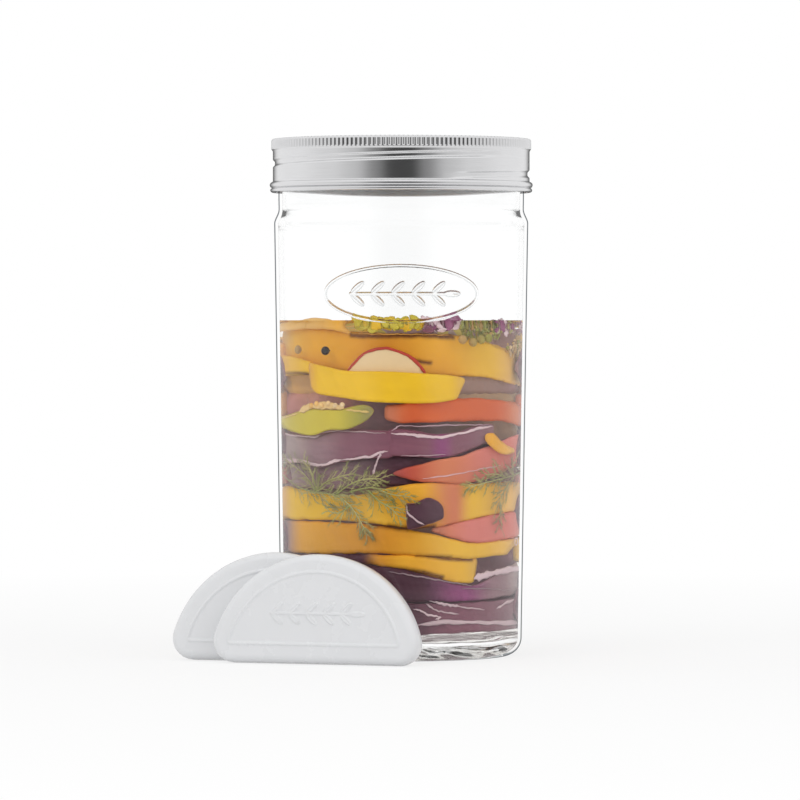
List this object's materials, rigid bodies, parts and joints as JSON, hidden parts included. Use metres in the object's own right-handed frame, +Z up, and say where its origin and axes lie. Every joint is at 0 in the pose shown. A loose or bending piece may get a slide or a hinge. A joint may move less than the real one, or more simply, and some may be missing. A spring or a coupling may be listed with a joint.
{
  "type": "fermentation jar with airlock",
  "caption": "Tall straight glass jar of pickled vegetables with a screw band over a silicone airlock lid, and half-moon ceramic weights standing beside it.",
  "frame": {"origin": "middle of the jar's foot, on the surface it stands on", "axes": "+Z up along the jar's axis; -Y towards the front, where the ornament and the weights are; +X to the right as seen from the front"},
  "size_m": [0.1368, 0.1248, 0.198],
  "materials": {
    "clear_glass": "clear smooth pressed glass",
    "bright_steel": "bright rolled tinned steel, soft polish",
    "silicone": "matt pale grey silicone",
    "glazed_ceramic": "white glazed stoneware, soft gloss",
    "cloudy_brine": "clear to slightly cloudy salt water",
    "yellow_pepper": "waxy wet pepper flesh",
    "orange_pepper": "waxy wet pepper flesh",
    "red_pepper": "waxy wet pepper flesh",
    "lime_green": "waxy wet chilli flesh",
    "purple_cabbage": "wet cabbage leaf",
    "radish_flesh": "wet radish flesh with red skin",
    "seed_tan": "dry seed",
    "peppercorn": "wrinkled peppercorn",
    "dill_green": "wet dill",
    "onion_white": "wet pale onion"
  },
  "bodies": {
    "jar": {"back_cabbage_leaf_base": "purple_cabbage", "back_cabbage_leaf_low": "purple_cabbage", "back_cabbage_leaf_upper": "purple_cabbage", "back_cabbage_scrap": "purple_cabbage", "back_green_chilli": "lime_green", "back_orange_strip": "orange_pepper", "back_pink_strip": "red_pepper", "back_radish_slice": "radish_flesh", "back_yellow_strip_lower": "yellow_pepper", "back_yellow_strip_middle": "yellow_pepper", "back_yellow_strip_upper": "yellow_pepper", "bright_pepper_boat": "yellow_pepper", "brine": "cloudy_brine", "cabbage_leaf_base": "purple_cabbage", "cabbage_leaf_left": "purple_cabbage", "cabbage_leaf_low": "purple_cabbage", "cabbage_leaf_middle": "purple_cabbage", "cabbage_leaf_upper": "purple_cabbage", "chilli_seeds": "seed_tan", "core_cabbage_base": "purple_cabbage", "core_cabbage_upper": "purple_cabbage", "core_leaves_top": "purple_cabbage", "core_peppers": "yellow_pepper", "coriander_seeds": "seed_tan", "dark_cabbage_scrap": "purple_cabbage", "dill_sprig_back": "dill_green", "dill_sprig_left": "dill_green", "dill_sprig_right": "dill_green", "floret_piece": "seed_tan", "glass_jar": "clear_glass", "green_chilli_half": "lime_green", "left_pepper_end": "yellow_pepper", "lime_pepper_bits": "lime_green", "long_pepper_arch": "orange_pepper", "orange_pepper_strip": "orange_pepper", "pale_pepper_top": "yellow_pepper", "peppercorns": "peppercorn", "pink_pepper_lower": "red_pepper", "pink_pepper_upper": "red_pepper", "purple_top_bits": "purple_cabbage", "radish_slice": "radish_flesh", "seed_heads": "lime_green", "side_scraps_left": "purple_cabbage", "side_scraps_right": "purple_cabbage", "small_yellow_piece": "yellow_pepper", "top_cabbage_scrap": "purple_cabbage", "white_curl": "onion_white", "yellow_strip_bottom": "yellow_pepper", "yellow_strip_lower": "yellow_pepper", "yellow_strip_upper": "yellow_pepper"},
    "airlock_lid": {"airlock_lid": "silicone"},
    "screw_band": {"screw_band": "bright_steel"},
    "weight_front": {"weight_front": "glazed_ceramic"},
    "weight_rear": {"weight_rear": "glazed_ceramic"}
  },
  "joints": [
    {"name": "lid_rise", "type": "slide", "parent": "jar", "child": "airlock_lid", "axis": [0, 0, 1], "range_m": [0, 0.024]},
    {"name": "band_turn", "type": "hinge", "parent": "airlock_lid", "child": "screw_band", "pos_m": [0, 0, 0.19], "axis": [0, 0, 1], "range_deg": [0, 1080]},
    {"name": "weight_front_pull", "type": "slide", "parent": "jar", "child": "weight_front", "axis": [-0.3338, -0.9426, 0], "range_m": [0, 0.08]},
    {"name": "weight_rear_pull", "type": "slide", "parent": "jar", "child": "weight_rear", "axis": [-0.9426, 0.3338, 0], "range_m": [0, 0.09]}
  ],
  "couplings": [
    {"joint": "lid_rise", "follows": "band_turn", "m_per_rad": 0.0012732}
  ]
}
